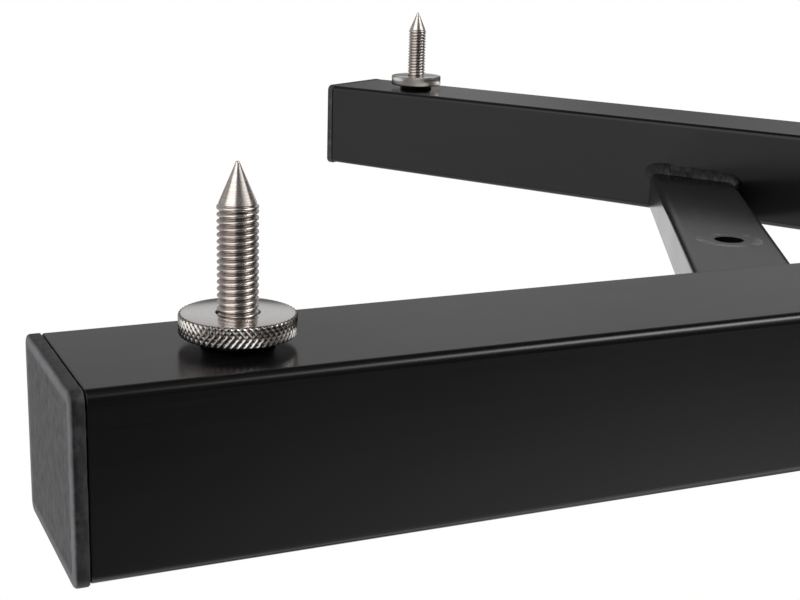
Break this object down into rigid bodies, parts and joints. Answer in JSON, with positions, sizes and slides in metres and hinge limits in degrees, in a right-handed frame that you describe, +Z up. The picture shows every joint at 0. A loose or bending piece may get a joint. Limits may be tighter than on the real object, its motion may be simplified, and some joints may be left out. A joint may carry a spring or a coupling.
{
  "type": "speaker stand",
  "caption": "Height-adjustable speaker stand: V-shaped tube base on levelling spikes with knurled lock discs, telescoping square column with clamp knob, and padded top plate.",
  "frame": {"origin": "on the floor, under the middle of the stand's outline", "axes": "+Z up, +Y towards the closed nose of the V, +X towards the right arm"},
  "size_m": [0.47, 0.423, 0.6846],
  "materials": {
    "coat": "satin black powder coat",
    "cap_plastic": "matte moulded polyethylene",
    "spike_steel": "turned stainless steel",
    "zinc_steel": "zinc plated",
    "moulded_nylon": "fine moulded texture",
    "brass": "turned",
    "rubber": "matte"
  },
  "bodies": {
    "stand_base": {"arm_left": "coat", "arm_right": "coat", "crossbar": "coat", "end_cap_left": "cap_plastic", "end_cap_right": "cap_plastic", "insert_left": "zinc_steel", "insert_right": "zinc_steel", "insert_nose": "zinc_steel", "foot_plate": "coat", "plate_bolts": "zinc_steel", "plate_washers": "zinc_steel", "rivet_nuts": "zinc_steel", "column_tube": "coat", "guide_bush": "moulded_nylon", "clamp_collar": "moulded_nylon", "clamp_nut": "zinc_steel"},
    "sliding_column": {"sliding_tube": "coat", "tube_glide": "moulded_nylon", "head_flange": "coat", "top_plate": "coat", "flange_screws": "zinc_steel", "flange_nuts": "zinc_steel", "rubber_pad_1": "rubber", "rubber_pad_2": "rubber", "rubber_pad_3": "rubber", "rubber_pad_4": "rubber"},
    "clamp_pad": {"clamp_pad": "brass"},
    "clamp_knob": {"clamp_knob": "moulded_nylon", "clamp_stud": "zinc_steel"},
    "spike_left": {"spike_left": "spike_steel"},
    "lock_disc_left": {"lock_disc_left": "spike_steel"},
    "spike_right": {"spike_right": "spike_steel"},
    "lock_disc_right": {"lock_disc_right": "spike_steel"},
    "spike_nose": {"spike_nose": "spike_steel"},
    "lock_disc_nose": {"lock_disc_nose": "spike_steel"}
  },
  "joints": [
    {"name": "column_height", "type": "slide", "parent": "stand_base", "child": "sliding_column", "axis": [0, 0, 1], "range_m": [0, 0.3]},
    {"name": "clamp_travel", "type": "slide", "parent": "stand_base", "child": "clamp_pad", "axis": [0, 1, 0], "range_m": [0, 0.0019]},
    {"name": "clamp_turn", "type": "hinge", "parent": "clamp_pad", "child": "clamp_knob", "pos_m": [0, 0.04405, 0.6076], "axis": [0, 1, 0], "range_deg": [0, 540]},
    {"name": "spike_left_travel", "type": "slide", "parent": "stand_base", "child": "spike_left", "axis": [0, 0, 1], "range_m": [-0.0051, 0.0051]},
    {"name": "lock_disc_left_turn", "type": "hinge", "parent": "stand_base", "child": "lock_disc_left", "pos_m": [-0.201, -0.17159, 0.0299], "axis": [0, 0, 1], "range_deg": [-1440, 1440]},
    {"name": "spike_right_travel", "type": "slide", "parent": "stand_base", "child": "spike_right", "axis": [0, 0, 1], "range_m": [-0.0051, 0.0051]},
    {"name": "lock_disc_right_turn", "type": "hinge", "parent": "stand_base", "child": "lock_disc_right", "pos_m": [0.201, -0.17159, 0.0299], "axis": [0, 0, 1], "range_deg": [-1440, 1440]},
    {"name": "spike_nose_travel", "type": "slide", "parent": "stand_base", "child": "spike_nose", "axis": [0, 0, 1], "range_m": [-0.0051, 0.0051]},
    {"name": "lock_disc_nose_turn", "type": "hinge", "parent": "stand_base", "child": "lock_disc_nose", "pos_m": [0, 0.17655, 0.0299], "axis": [0, 0, 1], "range_deg": [-1440, 1440]}
  ],
  "couplings": [
    {"joint": "clamp_travel", "follows": "clamp_turn", "m_per_rad": 0.00019894},
    {"joint": "spike_left_travel", "follows": "lock_disc_left_turn", "m_per_rad": -0.00019894},
    {"joint": "spike_right_travel", "follows": "lock_disc_right_turn", "m_per_rad": -0.00019894},
    {"joint": "spike_nose_travel", "follows": "lock_disc_nose_turn", "m_per_rad": -0.00019894}
  ]
}
